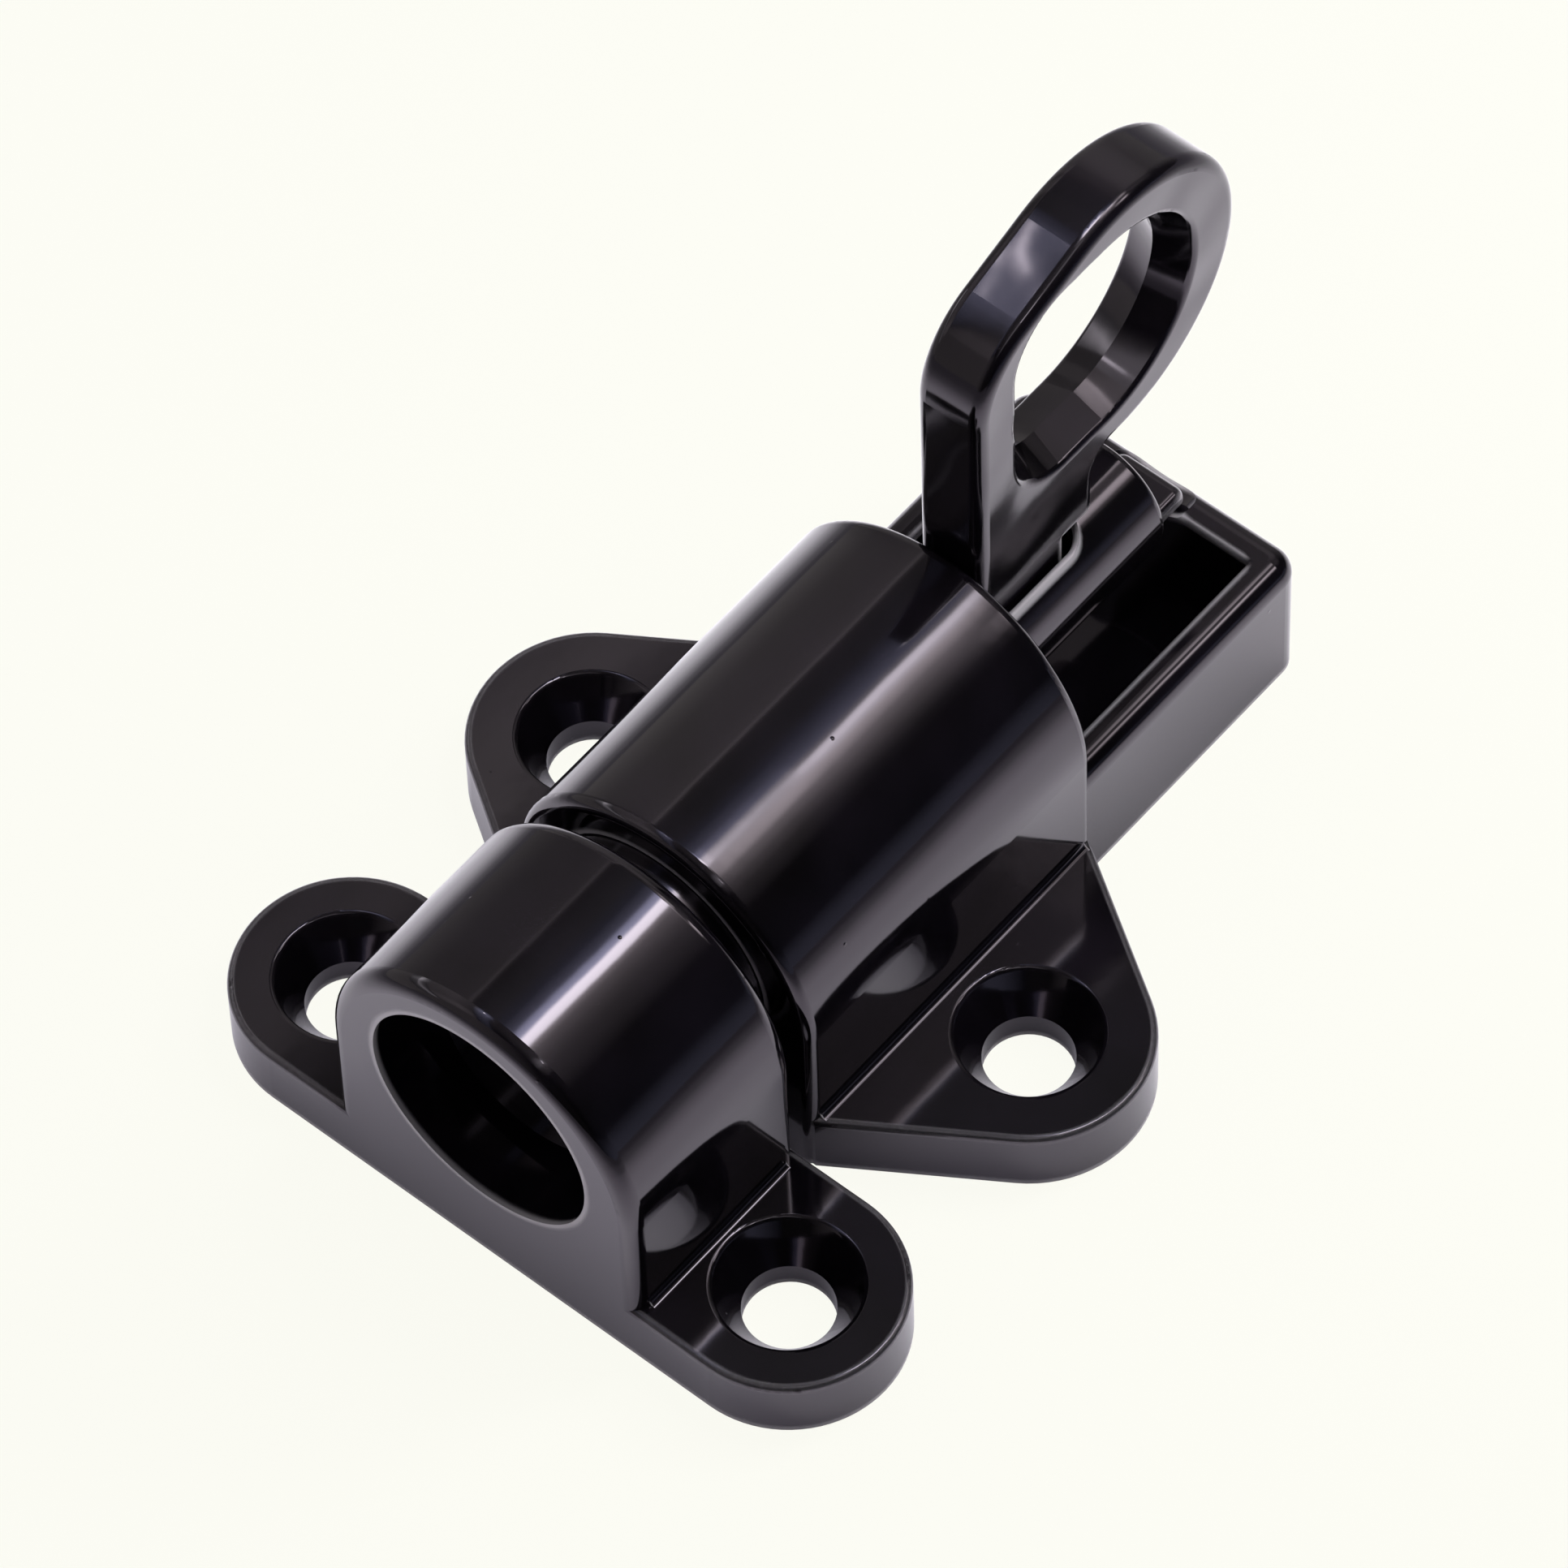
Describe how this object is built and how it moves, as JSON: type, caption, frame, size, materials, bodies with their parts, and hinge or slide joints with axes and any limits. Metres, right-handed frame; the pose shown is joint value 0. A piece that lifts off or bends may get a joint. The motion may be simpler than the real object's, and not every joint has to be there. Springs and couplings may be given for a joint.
{
  "type": "sliding window lock",
  "caption": "Spring-loaded sliding window lock in gloss black: a cast housing holds a round bolt with an upright finger ring, which shoots into a separate cast keeper.",
  "frame": {"origin": "centre of the footprint, on the mounting face", "axes": "+Y from the keeper towards the ring end, along the bolt; +Z away from the mounting face; +X across the lock"},
  "size_m": [0.0452, 0.0616, 0.042],
  "materials": {
    "casting_coating": "gloss black powder coat on a die-cast zinc alloy",
    "bolt_coating": "gloss black coat on a turned bolt",
    "pin_steel": "bright drawn steel pin",
    "spring_steel": "oiled spring steel wire"
  },
  "bodies": {
    "castings": {"housing": "casting_coating", "keeper": "casting_coating"},
    "spring_end": {"spring": "spring_steel"},
    "bolt_and_ring": {"bolt": "bolt_coating", "pull_ring": "casting_coating", "ring_pin": "pin_steel"}
  },
  "joints": [
    {"name": "bolt_slide", "type": "slide", "parent": "castings", "child": "spring_end", "axis": [0, 1, 0], "range_m": [0, 0.0114], "stiffness_N_per_m": 850, "springref_m": -0.0045, "deforming": ["spring"]},
    {"name": "bolt_turn", "type": "hinge", "parent": "spring_end", "child": "bolt_and_ring", "pos_m": [0, 0, 0.0131], "axis": [0, 1, 0], "range_deg": [-95, 95]}
  ]
}
